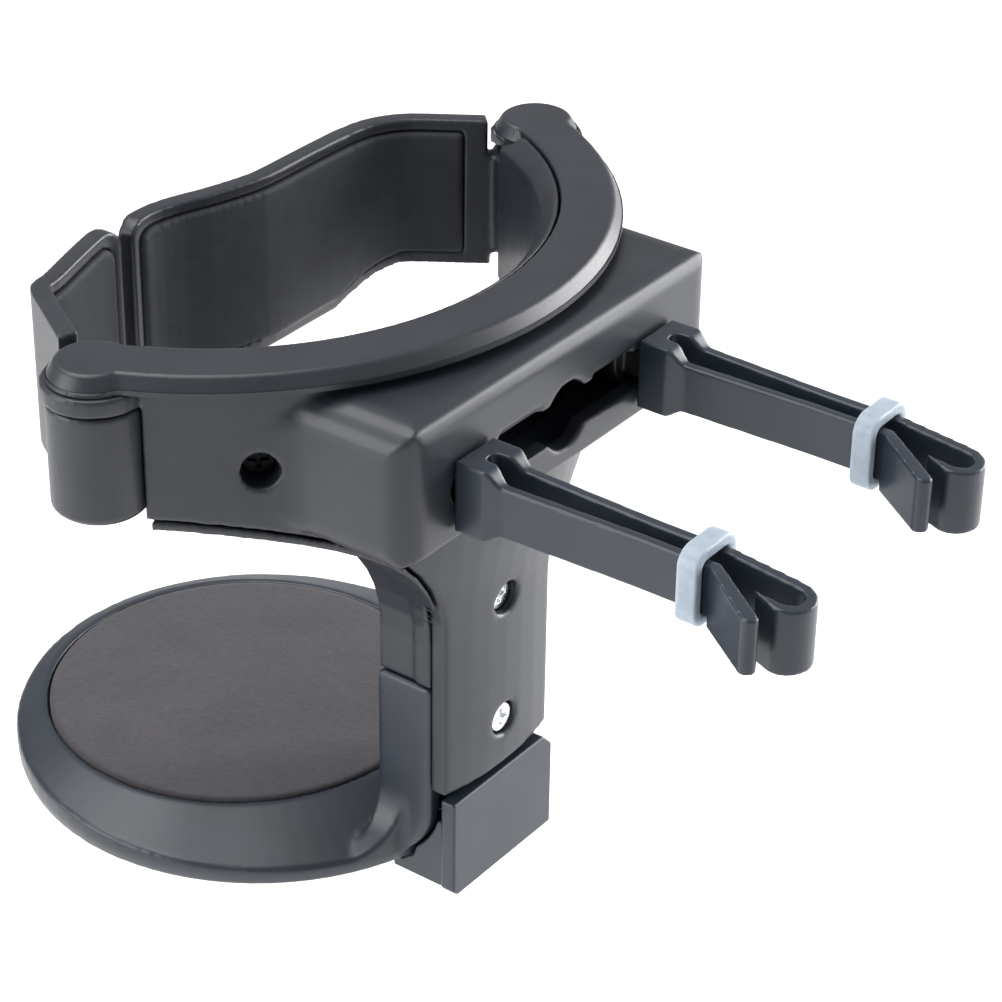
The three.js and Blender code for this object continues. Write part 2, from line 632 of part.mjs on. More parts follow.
function coverRing() {
  const bottom = RING_TOP - COVER_THICK;
  const rim = SHELL_OUTER_R + COVER_OVERHANG;
  const inner = LINER_OUTER_R + FIT;
  const band = spin([
    [inner, bottom],
    [rim, bottom],
    [rim, bottom + FIT],
    [rim - COVER_CHAMFER, RING_TOP],
    [inner, RING_TOP],
  ]);
  const caps = atHinges((side, x, y) =>
    spin([[0, bottom], [CAP_R, bottom], [CAP_R, bottom + FIT], [CAP_R - COVER_CHAMFER, RING_TOP], [0, RING_TOP]], x, y, 36),
  );
  return unite(common(band, sector(RING_HALF_ANGLE)), ...caps);
}

piece("cover_ring", coverRing(), charcoal);

// ---------------------------------------------------------------- screws

for (const [name, cup, angle, z, length] of [
  ["upper_column_screw", cups.upper, 0, UPPER_SCREW_Z, SCREW_LENGTH],
  ["lower_column_screw", cups.lower, 0, LOWER_SCREW_Z, SCREW_LENGTH],
  ["left_wall_screw", cups.left, WALL_SCREW_ANGLE, WALL_SCREW_Z, WALL_SCREW_LENGTH],
  ["right_wall_screw", cups.right, -WALL_SCREW_ANGLE, WALL_SCREW_Z, WALL_SCREW_LENGTH],
]) {
  const head = cup.seat + PIVOT_CLEARANCE + SCREW_HEAD_THICK;
  piece(name, screwAlongY(head, z, length).rotate([0, 0, -angle]), zinc);
}

// ---------------------------------------------------------------- arms, their pads, pins and springs

// The plan of a strip that follows an arm's outer line, between two depths into the arm.
function strip(line, near, far, from, to) {
  const edges = [[], []];
  for (let i = 0; i <= ARM_SAMPLES; i += 1) {
    const share = from + ((to - from) * i) / ARM_SAMPLES;
    const at = line.getPointAt(share);
    const along = line.getTangentAt(share);
    const inwards = new THREE.Vector2(along.y, -along.x).multiplyScalar(line.side);
    edges[0].push([at.x + inwards.x * near, at.y + inwards.y * near]);
    edges[1].push([at.x + inwards.x * far, at.y + inwards.y * far]);
  }
  const points = [...edges[0], ...edges[1].reverse()];
  return outline(line.side < 0 ? points : points.reverse());
}

function armLine(side, root, tip) {
  const hinge = root.map(([x, y]) => new THREE.Vector2(side * HINGE_X + x, HINGE_Y + y));
  const end = tip.map(([x, y]) => new THREE.Vector2(ARM_TIPS_X + (side * ARM_TIP_GAP) / 2 + x, y));
  const line = new THREE.SplineCurve([...hinge, ...end]);
  line.side = side;
  return line;
}

// Front view of an arm: a level top with a rounded tip, and a lower edge that slopes down to the tip.
function armFace(side, margin) {
  const tip = ARM_TIPS_X + (side * ARM_TIP_GAP) / 2 + side * margin;
  const top = RING_TOP - margin;
  const radius = ARM_TIP_R - margin / 2;
  const corner = [];
  for (let i = 0; i <= 6; i += 1) {
    const turn = (Math.PI * i) / 12;
    corner.push([tip + side * radius * (1 - Math.sin(turn)), top - radius * (1 - Math.cos(turn))]);
  }
  const flat = side * (HINGE_X - ARM_FLAT_SPAN);
  const low = side * (HINGE_X - ARM_FLAT_SPAN - ARM_SLOPE_SPAN);
  const hingeZ = RING_TOP - ARM_HEIGHT_AT_HINGE + margin;
  const tipZ = RING_TOP - ARM_HEIGHT_AT_TIP + margin;
  return outline([
    [side * REACH, top],
    ...corner,
    [tip, tipZ],
    [low, tipZ],
    [flat, hingeZ],
    [side * REACH, hingeZ],
  ]);
}

function barrel(x, y) {
  const chamfer = BARREL_WALL / 2;
  return spin(
    [
      [0, BARREL_BOTTOM],
      [BARREL_R - chamfer, BARREL_BOTTOM],
      [BARREL_R, BARREL_BOTTOM + chamfer],
      [BARREL_R, BARREL_TOP],
      [0, BARREL_TOP],
    ],
    x, y, 36,
  );
}

function arm(side, line, padSpan) {
  const x = side * HINGE_X;
  const blade = common(
    prismZ(strip(line, 0, ARM_THICK, 0, 1), RING_BOTTOM - REACH / 4, RING_TOP),
    prismY(armFace(side, 0), -REACH, REACH),
  );
  const pocket = common(
    prismZ(
      strip(line, ARM_THICK - ARM_PAD_POCKET, ARM_THICK + 1, padSpan[0], padSpan[1]),
      RING_BOTTOM - REACH / 4, RING_TOP,
    ),
    prismY(armFace(side, ARM_PAD_MARGIN), -REACH, REACH),
  );
  const lugRoom = rodZ(LUG_R + FIT, x, HINGE_Y, BARREL_TOP, RING_TOP + 1);
  const belowBarrel = rodZ(BARREL_R + FIT, x, HINGE_Y, 0, BARREL_BOTTOM);
  const bore = rodZ(PIVOT_R + PIVOT_CLEARANCE, x, HINGE_Y, BARREL_BOTTOM - 1, BARREL_TOP + 1, 20);
  const springRoom = rodZ(BARREL_R - BARREL_WALL, x, HINGE_Y, SPRING_FLOOR, BARREL_TOP + 1);
  const screwRoom = rodZ(HINGE_SCREW_HEAD_R + FIT, x, HINGE_Y, BARREL_BOTTOM - 1, BARREL_BORE_FLOOR);
  return cut(unite(blade, barrel(x, HINGE_Y)), pocket, lugRoom, belowBarrel, bore, springRoom, screwRoom);
}

function armPad(side, line, padSpan) {
  const edge = FIT / line.getLength();
  return common(
    prismZ(
      strip(line, ARM_THICK - ARM_PAD_POCKET + FIT, ARM_THICK + ARM_PAD_PROUD, padSpan[0] + edge, padSpan[1] - edge),
      RING_BOTTOM - REACH / 4, RING_TOP,
    ),
    prismY(armFace(side, ARM_PAD_MARGIN + FIT), -REACH, REACH),
  );
}

// A headed pin that hangs in the lug, with a threaded hole up its lower end.
function hingePin(x, y) {
  const head = rodZ(PIVOT_HEAD_R, x, y, DECK_TOP - PIVOT_HEAD_THICK, DECK_TOP);
  const shank = rodZ(PIVOT_R, x, y, BARREL_BORE_FLOOR, DECK_TOP - PIVOT_HEAD_THICK / 2, 20);
  const thread = rodZ(HINGE_SCREW_R + PIVOT_CLEARANCE, x, y, 0, BARREL_BORE_FLOOR + HINGE_SCREW_LENGTH, 14);
  return cut(unite(head, shank), thread);
}

function hingeScrew(x, y) {
  const top = BARREL_BORE_FLOOR - FIT;
  const head = rodZ(HINGE_SCREW_HEAD_R, x, y, top - HINGE_SCREW_HEAD_THICK, top);
  const shank = rodZ(HINGE_SCREW_R, x, y, top - FIT, top + HINGE_SCREW_LENGTH - FIT, 14);
  const half = CROSS_LENGTH / 2;
  const thin = CROSS_WIDTH / 2;
  const low = top - HINGE_SCREW_HEAD_THICK;
  const flat = box(x - half, x + half, y - thin, y + thin, low - FIT, low + CROSS_DEPTH);
  const tall = box(x - thin, x + thin, y - half, y + half, low - FIT, low + CROSS_DEPTH);
  return cut(unite(head, shank), flat, tall);
}

class Helix extends THREE.Curve {
  constructor(x, y, radius, z0, z1) {
    super();
    Object.assign(this, { x, y, radius, z0, z1 });
  }

  getPoint(t, target = new THREE.Vector3()) {
    const angle = 2 * Math.PI * SPRING_TURNS * t;
    return target.set(
      this.x + this.radius * Math.cos(angle),
      this.y + this.radius * Math.sin(angle),
      this.z0 + (this.z1 - this.z0) * t,
    );
  }
}

function torsionSpring(x, y) {
  const radius = (PIVOT_R + BARREL_R - BARREL_WALL) / 2;
  const low = SPRING_FLOOR + FIT + SPRING_WIRE_R;
  const high = BARREL_TOP - FIT - SPRING_WIRE_R;
  const wire = new THREE.Shape();
  wire.absarc(0, 0, SPRING_WIRE_R, 0, 2 * Math.PI);
  const geometry = new THREE.ExtrudeGeometry(wire, {
    steps: SPRING_TURNS * SPRING_STEPS_PER_TURN,
    curveSegments: 3,
    extrudePath: new Helix(x, y, radius, low, high),
  });
  return solid(geometry);
}

const arms = [
  { name: "left", side: 1, line: armLine(1, SHORT_ARM_ROOT, SHORT_ARM_TIP), pad: SHORT_PAD_SPAN },
  { name: "right", side: -1, line: armLine(-1, LONG_ARM_ROOT, LONG_ARM_TIP), pad: LONG_PAD_SPAN },
];

for (const { name, side, line, pad } of arms) {
  const x = side * HINGE_X;
  piece(`${name}_arm`, arm(side, line, pad), charcoal);
  piece(`${name}_arm_pad`, armPad(side, line, pad), rubber);
  piece(`${name}_hinge_pin`, hingePin(x, HINGE_Y), steel);
  piece(`${name}_hinge_screw`, hingeScrew(x, HINGE_Y), zinc);
  piece(`${name}_torsion_spring`, torsionSpring(x, HINGE_Y), steel);
}

// ---------------------------------------------------------------- vent clips

// Half-width of the fork at a distance from the box.
function forkHalf(v) {
  const share = THREE.MathUtils.clamp((v - CLIP_HUB_END) / (CLIP_NECK_START - CLIP_HUB_END), 0, 1);
  return THREE.MathUtils.lerp(CLIP_ROOT_HALF, CLIP_NECK_HALF, share);
}

// One leg's plan, from the hub to an end, on one side of the middle.
function leg(side, end) {
  const stations = [CLIP_HUB_END, CLIP_NECK_START, end];
  const outer = stations.map((v) => [side * forkHalf(v), v]);
  const inner = stations.map((v) => [side * (forkHalf(v) - CLIP_LEG), v]);
  const points = [...outer, ...inner.reverse()];
  return outline(side > 0 ? points : points.reverse());
}

function flare() {
  return outline([
    [CLIP_NECK_HALF - CLIP_LEG, CLIP_FLARE_START],
    [CLIP_NECK_HALF, CLIP_FLARE_START],
    [CLIP_FLARE_HALF, CLIP_FLARE_END - CLIP_LEG],
    [CLIP_FLARE_HALF, CLIP_FLARE_END - CLIP_LEG / 2],
    [CLIP_FLARE_HALF - CLIP_LEG / 2, CLIP_FLARE_END],
    [CLIP_FLARE_HALF - CLIP_LEG, CLIP_FLARE_END],
    [CLIP_NECK_HALF - CLIP_LEG, CLIP_FLARE_START + CLIP_LEG / 2],
  ]);
}

// The far leg's hooked end: it turns back towards the near leg and ends in a thin point.
function hook() {
  const middle = HOOK_R - CLIP_NECK_HALF;
  const shape = new THREE.Shape();
  shape.moveTo(-CLIP_NECK_HALF + CLIP_LEG, CLIP_FLARE_START);
  shape.lineTo(-CLIP_NECK_HALF + CLIP_LEG, HOOK_CENTRE);
  shape.absarc(middle, HOOK_CENTRE, HOOK_R - CLIP_LEG, Math.PI, 0, true);
  shape.lineTo(middle + HOOK_R - CLIP_LEG, HOOK_CENTRE - HOOK_RETURN);
  shape.lineTo(middle + HOOK_R, HOOK_CENTRE);
  shape.absarc(middle, HOOK_CENTRE, HOOK_R, 0, Math.PI, false);
  shape.lineTo(-CLIP_NECK_HALF, CLIP_FLARE_START);
  shape.closePath();
  return shape;
}

// Side view of the hub: level over its length, then an S-shaped ramp to the legs' top and underside.
function hubSide(base, top) {
  const points = [[FIT, base - CLIP_HUB_BELOW]];
  const steps = 8;
  for (let i = 0; i <= steps; i += 1) {
    const share = i / steps;
    const v = THREE.MathUtils.lerp(CLIP_HUB_END, CLIP_RAMP_END, share);
    points.push([v, base - CLIP_HUB_BELOW * (1 - THREE.MathUtils.smoothstep(share, 0, 1))]);
  }
  for (let i = steps; i >= 0; i -= 1) {
    const share = i / steps;
    const v = THREE.MathUtils.lerp(CLIP_HUB_END, CLIP_RAMP_END, share);
    points.push([v, top + CLIP_HUB_ABOVE * (1 - THREE.MathUtils.smoothstep(share, 0, 1))]);
  }
  points.push([FIT, top + CLIP_HUB_ABOVE]);
  return outline(points);
}

// A clip's parts are drawn at the origin, with v along +Y, and then moved to the slot.
function ventClip() {
  const top = CLIP_HALF_HEIGHT - CLIP_DROP;
  const base = -CLIP_HALF_HEIGHT - CLIP_DROP;
  const hubPlan = outline([
    [-CLIP_HUB_HALF_WIDTH, FIT],
    [CLIP_HUB_HALF_WIDTH, FIT],
    [CLIP_HUB_HALF_WIDTH, CLIP_HUB_END],
    [forkHalf(CLIP_RAMP_END), CLIP_RAMP_END],
    [-forkHalf(CLIP_RAMP_END), CLIP_RAMP_END],
    [-CLIP_HUB_HALF_WIDTH, CLIP_HUB_END],
  ]);
  const hub = common(prismX(hubSide(base, top), -REACH, REACH), prismZ(hubPlan, -REACH, REACH));
  const gapStart = CLIP_GAP_START + CLIP_GAP_R;
  const wide = forkHalf(CLIP_RAMP_END) - CLIP_LEG;
  const gapPlan = outline([
    [-CLIP_GAP_R, gapStart],
    [CLIP_GAP_R, gapStart],
    [CLIP_GAP_R, CLIP_HUB_END],
    [wide, CLIP_RAMP_END],
    [wide, CLIP_RAMP_END + 1],
    [-wide, CLIP_RAMP_END + 1],
    [-wide, CLIP_RAMP_END],
    [-CLIP_GAP_R, CLIP_HUB_END],
  ]);
  const gap = [prismZ(gapPlan, -REACH, REACH), rodZ(CLIP_GAP_R, 0, gapStart, -REACH, REACH)];
  const studEnd = -(BOX_WALL + FIT + SLIDER_HEAD_THICK + 2 * FIT + RETAINER_THICK + STUD_PROUD);
  const fall = outline([
    [0, -REACH],
    [HOOK_CENTRE + HOOK_R + 1, -REACH],
    [HOOK_CENTRE + HOOK_R + 1, top - CLIP_END_FALL],
    [CLIP_FLARE_START, top],
    [0, top],
  ]);
  const end = common(
    unite(prismZ(flare(), base - CLIP_FLARE_DROP, top), prismZ(hook(), -HOOK_DROP - CLIP_DROP, top)),
    prismX(fall, -REACH, REACH),
  );
  return unite(
    cut(hub, ...gap),
    cut(prismZ(leg(1, CLIP_FLARE_START + CLIP_LEG / 4), base, top), ...gap),
    cut(prismZ(leg(-1, CLIP_FLARE_START + 1), base, top), ...gap),
    end,
    rodY(STUD_R, 0, 0, studEnd, CLIP_GAP_START / 2, 20),
  );
}

// The keyed slider in the slot: its head is behind the wall, its neck stops it turning.
function clipSlider() {
  const back = -(BOX_WALL + FIT);
  const head = rodY(SLIDER_HEAD_R, 0, 0, back - SLIDER_HEAD_THICK, back);
  const neck = common(
    box(-SLIDER_NECK_HALF, SLIDER_NECK_HALF, back - FIT, 0, -SLIDER_NECK_HALF, SLIDER_NECK_HALF),
    rodY(SLIDER_NECK_CORNER_R, 0, 0, back - FIT, 0, 28),
  );
  const bore = rodY(STUD_R + STUD_CLEARANCE, 0, 0, -REACH, REACH, 20);
  return cut(unite(head, neck), bore);
}

// The push-on washer that keeps the stud in the slider.
function retainer() {
  const front = -(BOX_WALL + FIT + SLIDER_HEAD_THICK + FIT);
  const washer = rodY(RETAINER_R, 0, 0, front - RETAINER_THICK, front);
  return cut(washer, rodY(STUD_R + STUD_CLEARANCE, 0, 0, -REACH, REACH, 20));
}

// The elastic band round both legs.
function clipRing() {
  const bandPlan = (grow) => {
    const w = CLIP_NECK_HALF + FIT + grow;
    const h = CLIP_HALF_HEIGHT + FIT + grow;
    const r = CLIP_RING_CORNER_R + grow;
    const shape = new THREE.Shape();
    shape.moveTo(w - r, -h);
    shape.absarc(w - r, r - h, r, -Math.PI / 2, 0);
    shape.absarc(w - r, h - r, r, 0, Math.PI / 2);
    shape.absarc(r - w, h - r, r, Math.PI / 2, Math.PI);
    shape.absarc(r - w, r - h, r, Math.PI, 1.5 * Math.PI);
    shape.closePath();
    return shape;
  };
  const v0 = CLIP_RING_CENTRE - CLIP_RING_WIDTH / 2;
  const v1 = CLIP_RING_CENTRE + CLIP_RING_WIDTH / 2;
  const band = cut(prismY(bandPlan(CLIP_RING_THICK), v0, v1, 4), prismY(bandPlan(0), v0 - 1, v1 + 1, 4));
  return band.translate([0, 0, -CLIP_DROP]);
}

for (const [name, x] of [["left", CLIP_SHIFT + CLIP_X], ["right", CLIP_SHIFT - CLIP_X]]) {
  const place = [x, BOX_REAR, SLOT_Z];
  piece(`${name}_vent_clip`, ventClip().translate(place), clipPlastic);
  piece(`${name}_clip_slider`, clipSlider().translate(place), acetal);
  piece(`${name}_clip_retainer`, retainer().translate(place), steel);
  piece(`${name}_clip_ring`, clipRing().translate(place), silicone);
}

// ---------------------------------------------------------------- tray, pad and foot

const TONGUE_TOP = TRAY_TOP - TRAY_PLATE - FIT;
const TONGUE_BOTTOM = TONGUE_TOP - TONGUE_THICK;
const FOOT_FRONT = shellRadius(COLUMN_BOTTOM) - SHELL_WALL;
const TONGUE_FRONT = FOOT_FRONT - TONGUE_LENGTH;

// Rear view of the upstand: the column's width, flaring into the tray's top.
function upstandOutline() {
  const side = COLUMN_HALF_WIDTH;
  const foot = side + TRAY_FILLET;
  const end = TRAY_TOP - TRAY_FILLET_DROP;
  const shape = new THREE.Shape();
  shape.moveTo(-foot, end - 1);
  shape.lineTo(foot, end - 1);
  shape.lineTo(foot, end);
  shape.absarc(foot, end + TRAY_FILLET, TRAY_FILLET, 1.5 * Math.PI, Math.PI, true);
  shape.lineTo(side, UPSTAND_TOP);
  shape.lineTo(-side, UPSTAND_TOP);
  shape.lineTo(-side, end + TRAY_FILLET);
  shape.absarc(-foot, end + TRAY_FILLET, TRAY_FILLET, 0, -Math.PI / 2, true);
  shape.closePath();
  return shape;
}

// Side view of the column's lower end: upright at the back, rounded into the tray's underside.
function heelOutline(grow) {
  const rear = shellRadius(COLUMN_BOTTOM) - SHELL_WALL - FIT;
  const bend = rear - TRAY_HEEL_INSET - TRAY_HEEL_R;
  const middle = TRAY_BOTTOM + TRAY_HEEL_R;
  const widest = TRAY_TOP - TRAY_RIM_DROP;
  const shape = new THREE.Shape();
  shape.moveTo(bend, TRAY_BOTTOM - grow);
  shape.absarc(bend, middle, TRAY_HEEL_R + grow, -Math.PI / 2, 0);
  shape.lineTo(rear + grow, COLUMN_BOTTOM + FIT);
  shape.lineTo(rear + grow, UPSTAND_TOP);
  shape.lineTo(COLUMN_FRONT, UPSTAND_TOP);
  shape.lineTo(COLUMN_FRONT, widest);
  shape.lineTo(bend, widest);
  shape.closePath();
  return shape;
}

// The tray's outer body of revolution, grown by a clearance.
function trayRound(grow) {
  return spin(
    [
      [0, TRAY_BOTTOM - grow],
      [TRAY_BOTTOM_R + grow, TRAY_BOTTOM - grow],
      [TRAY_R - TRAY_UNDER_CHAMFER / 2 + grow, TRAY_BOTTOM + TRAY_UNDER_CHAMFER],
      [TRAY_R + grow, TRAY_TOP - TRAY_RIM_DROP],
      [TRAY_R + grow, TRAY_TOP],
      [0, TRAY_TOP],
    ],
    0, TRAY_CENTRE_Y, 80,
  );
}

function tray() {
  const land = PAD_R + FIT + TRAY_RIM_LAND;
  const fall = TRAY_RIM_SLOPE_HEIGHT;
  const plate = common(
    trayRound(0),
    spin(
      [
        [0, TRAY_BOTTOM - 1],
        [land + TRAY_RIM_REACH, TRAY_BOTTOM - 1],
        [land + TRAY_RIM_REACH, TRAY_TOP - fall],
        [land, TRAY_TOP],
        [0, TRAY_TOP],
      ],
      0, 0, 72,
    ),
  );
  const underside = rodZ(
    TRAY_BOTTOM_R - TRAY_RIM_WALL, 0, TRAY_CENTRE_Y,
    TRAY_BOTTOM - 1, TRAY_TOP - TRAY_PLATE, 64,
  );
  const fillets = common(
    prismY(upstandOutline(), COLUMN_FRONT, REACH),
    rodZ(TRAY_R, 0, TRAY_CENTRE_Y, TRAY_TOP - TRAY_FILLET_DROP - 1, UPSTAND_TOP, 80),
  );
  const upstand = common(
    prismX(heelOutline(0), -COLUMN_HALF_WIDTH, COLUMN_HALF_WIDTH),
    insideShell(SHELL_WALL + FIT, TRAY_BOTTOM - 1, UPSTAND_TOP + 1),
  );
  const hollow = box(
    COLUMN_WALL - COLUMN_HALF_WIDTH, COLUMN_HALF_WIDTH - COLUMN_WALL,
    COLUMN_FRONT + COLUMN_WALL, REACH,
    TRAY_TOP + COLUMN_WALL, UPSTAND_TOP - COLUMN_WALL,
  );
  const railOut = TONGUE_HALF_WIDTH + FIT + RAIL_WALL;
  const railIn = TONGUE_HALF_WIDTH + FIT;
  const rails = [1, -1].map((side) => {
    const profile = outline([
      [side * railIn, TONGUE_BOTTOM - FIT],
      [side * railIn, TONGUE_TOP + 2 * FIT],
      [side * railOut, TONGUE_TOP + 2 * FIT],
      [side * railOut, TONGUE_BOTTOM - FIT - RAIL_LIP],
      [side * (railIn - RAIL_LIP), TONGUE_BOTTOM - FIT - RAIL_LIP],
      [side * (railIn - RAIL_LIP), TONGUE_BOTTOM - FIT],
    ]);
    return prismY(profile, TONGUE_FRONT + 1, COLUMN_FRONT + 1);
  });
  const tongueRoom = box(
    -TONGUE_HALF_WIDTH - FIT, TONGUE_HALF_WIDTH + FIT,
    TONGUE_FRONT - FIT, REACH,
    TONGUE_BOTTOM - FIT, TONGUE_TOP + FIT,
  );
  const pocket = rodZ(PAD_R + FIT, 0, 0, -PAD_THICK - FIT, 1, 72);
  const body = unite(cut(plate, underside), fillets);
  const bossOut = boss(0, LOWER_SCREW_Z, COLUMN_FRONT + COLUMN_WALL / 2, cups.lower, SCREW_LENGTH);
  const thread = rodOutwards(SCREW_R + PIVOT_CLEARANCE, 0, LOWER_SCREW_Z, cups.lower.seat - SCREW_LENGTH, REACH);
  return cut(unite(cut(unite(body, upstand), hollow), ...rails, bossOut), tongueRoom, pocket, thread);
}

piece("tray", tray(), trayPlastic);
piece("tray_pad", rodZ(PAD_R, 0, 0, -PAD_THICK, 0, 72), foam);

function supportFoot() {
  const w = FOOT_HALF_WIDTH;
  const face = outline([
    [-w, FOOT_BOTTOM],
    [w - FOOT_CORNER / 2, FOOT_BOTTOM],
    [w, FOOT_BOTTOM + FOOT_CORNER / 2],
    [w, FOOT_TOP],
    [FOOT_CORNER - w, FOOT_TOP],
    [-w, FOOT_TOP - FOOT_CORNER],
  ]);
  const plate = prismY(face, FOOT_FRONT, FOOT_FRONT + FOOT_PLATE_THICK);
  const block = cut(
    box(
      -FOOT_BLOCK_HALF_WIDTH, FOOT_BLOCK_HALF_WIDTH,
      FOOT_FRONT - FOOT_BLOCK_LENGTH, FOOT_FRONT + FIT,
      FOOT_BOTTOM, FOOT_BLOCK_TOP,
    ),
    prismX(heelOutline(FIT), -REACH, REACH),
    trayRound(FIT),
  );
  const tongue = box(
    -TONGUE_HALF_WIDTH, TONGUE_HALF_WIDTH,
    TONGUE_FRONT, FOOT_FRONT + FIT,
    TONGUE_BOTTOM, TONGUE_TOP,
  );
  return unite(plate, block, tongue);
}

piece("support_foot", supportFoot(), clipPlastic);

export default holder;
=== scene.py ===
# %% [markdown]
# # A cup holder that hangs from a car's air vent
#
# The holder is a half ring of moulded plastic with two sprung arms, a short column, a padded round tray
# and two forks that grip the slats of a vent. Nearly all of it is charcoal ABS with a fine satin grain, so
# what tells the pieces apart is their edges, the gaps between them and the way light runs along them.
#
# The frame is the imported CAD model. It comes first, because every piece below takes its place from it.

# %% The frame
import json
import math

import bmesh
import bpy
from mathutils import Matrix, Vector


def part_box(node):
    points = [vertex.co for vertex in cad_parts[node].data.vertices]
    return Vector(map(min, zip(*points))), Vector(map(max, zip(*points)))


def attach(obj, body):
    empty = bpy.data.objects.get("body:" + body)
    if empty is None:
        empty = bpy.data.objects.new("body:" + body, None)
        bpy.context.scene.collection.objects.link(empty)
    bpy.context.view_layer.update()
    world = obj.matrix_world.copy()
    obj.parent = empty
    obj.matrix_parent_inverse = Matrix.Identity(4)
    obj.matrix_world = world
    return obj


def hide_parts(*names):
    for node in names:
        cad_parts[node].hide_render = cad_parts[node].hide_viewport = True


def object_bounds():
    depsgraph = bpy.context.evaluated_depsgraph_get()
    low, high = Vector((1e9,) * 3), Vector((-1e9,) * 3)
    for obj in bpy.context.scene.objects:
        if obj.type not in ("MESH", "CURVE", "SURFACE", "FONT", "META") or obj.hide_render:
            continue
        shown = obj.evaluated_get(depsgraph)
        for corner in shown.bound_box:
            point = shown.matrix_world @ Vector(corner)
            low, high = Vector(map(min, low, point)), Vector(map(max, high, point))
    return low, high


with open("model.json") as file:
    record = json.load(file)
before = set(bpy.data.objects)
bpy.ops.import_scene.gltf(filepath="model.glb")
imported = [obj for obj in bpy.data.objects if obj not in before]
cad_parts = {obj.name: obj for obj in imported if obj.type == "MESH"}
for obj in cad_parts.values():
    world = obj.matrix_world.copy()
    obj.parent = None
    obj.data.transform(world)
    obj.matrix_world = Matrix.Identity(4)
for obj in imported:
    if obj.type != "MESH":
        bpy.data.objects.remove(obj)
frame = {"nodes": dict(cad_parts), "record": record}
cad_box = [list(corner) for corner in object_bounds()]

MM = 0.001


def in_mm(box):
    return [[round(v / MM, 1) for v in corner] for corner in box]


print("CAD box in mm:", in_mm(cad_box))

# %% [markdown]
# ## Camera
#
# A long lens from behind the vent side, above the ring, a little over 30 degrees down. The camera is set by
# its own right, up and back directions, because it also rolls by a degree and those three say it without
# any doubt about the order of turns.

# %% Camera
CAMERA_AZIMUTH = 125.991
CAMERA_ELEVATION = 30.863
CAMERA_ROLL = 0.908
CAMERA_PLACE = Vector((281.0, 249.9, 255.3)) * MM
LENS = 111.55
SENSOR = 36.0


def camera_turn(azimuth, elevation, roll):
    """The camera's axes as a matrix: right, up and back are its columns."""
    a, e, r = (math.radians(v) for v in (azimuth, elevation, roll))
    back = Vector((math.sin(a) * math.cos(e), -math.cos(a) * math.cos(e), math.sin(e)))
    right = Vector((math.cos(a), math.sin(a), 0))
    up = back.cross(right)
    turned_right = math.cos(r) * right + math.sin(r) * up
    turned_up = math.cos(r) * up - math.sin(r) * right
    return Matrix((turned_right, turned_up, back)).transposed()


scene = bpy.context.scene
camera_data = bpy.data.cameras.new("camera")
camera_data.lens = LENS
camera_data.sensor_width = SENSOR
camera = bpy.data.objects.new("camera", camera_data)
scene.collection.objects.link(camera)
camera.matrix_world = Matrix.Translation(CAMERA_PLACE) @ camera_turn(
    CAMERA_AZIMUTH, CAMERA_ELEVATION, CAMERA_ROLL
).to_4x4()
scene.camera = camera
print("camera", round(CAMERA_PLACE.length / MM), "mm from the cup seat")

# %% [markdown]
# ## A white studio
#
# The holder is lit as a catalogue object: white all round, with three large soft lights that draw long
# highlights on the rounded edges. In use it hangs from an air vent and stands on nothing, so the pale floor
# lies well below it and only catches a faint shadow. A white world alone would be flat; lamps alone would
# leave the undersides black. Both together keep the plastic readable.

# %% World and floor
WORLD_STRENGTH = 0.5
WHITE = (1.0, 1.0, 1.0, 1.0)
FLOOR_DROP = 70  # mm below the foot
FLOOR_HALF = 3  # metres from its middle to its edge

scene.view_settings.view_transform = "Standard"
world = bpy.data.worlds.new("white studio")
scene.world = world
world.use_nodes = True
sky = world.node_tree.nodes["Background"]
sky.inputs["Color"].default_value = WHITE
sky.inputs["Strength"].default_value = WORLD_STRENGTH

floor_z = cad_box[0][2] - FLOOR_DROP * MM
floor_bm = bmesh.new()
bmesh.ops.create_grid(floor_bm, x_segments=1, y_segments=1, size=FLOOR_HALF)
bmesh.ops.translate(floor_bm, verts=floor_bm.verts, vec=(0, 0, floor_z))
floor_mesh = bpy.data.meshes.new("floor")
floor_bm.to_mesh(floor_mesh)
floor_bm.free()
floor = bpy.data.objects.new("floor", floor_mesh)
scene.collection.objects.link(floor)
print("floor at", round(floor_z / MM), "mm")

# %% [markdown]
# The overhead lamp draws the light line along the cover ring and the box. The dashboard side lamp is low
# and strong, because it has to reach round the column and along the forks. The third lifts the barrel and
# the short arm out of their own shade.

# %% Lights
LIGHT_AIM = Vector((0, 30, 50)) * MM
LIGHT_DISTANCE = 0.9
LIGHTS = {
    # name: (direction it stands in, side in metres, watts)
    "overhead light": ((0.15, -0.35, 1.0), 0.7, 7.0),
    "dashboard side light": ((-1.0, 0.5, 0.22), 0.7, 15.0),
    "short arm side light": ((0.95, -0.55, 0.30), 0.6, 5.0),
}

for name, (towards, side, power) in LIGHTS.items():
    lamp = bpy.data.lights.new(name, "AREA")
    lamp.shape = "SQUARE"
    lamp.size = side
    lamp.energy = power
    stand = bpy.data.objects.new(name, lamp)
    scene.collection.objects.link(stand)
    direction = Vector(towards).normalized()
    stand.location = LIGHT_AIM + direction * LIGHT_DISTANCE
    stand.rotation_euler = direction.to_track_quat("Z", "Y").to_euler()
    print(name, "at", [round(v, 2) for v in stand.location], "m")

# %% [markdown]
# ## Finishes
#
# Every colour is an sRGB hex value that one function turns to linear. One more function adds a node with
# its settings and its links. Patterns read Object coordinates, in metres, so a scale is one over the real
# size of a grain.
#
# What a moulder would call the finish has the same three parts on nearly every piece here: two close tones
# in soft clouds, a gloss that varies with a finer skin, and that skin's relief. So one function lays those
# three parts, and each finish below says only what its own material needs.

# %% Colour and nodes
SRGB_KNEE = 0.04045


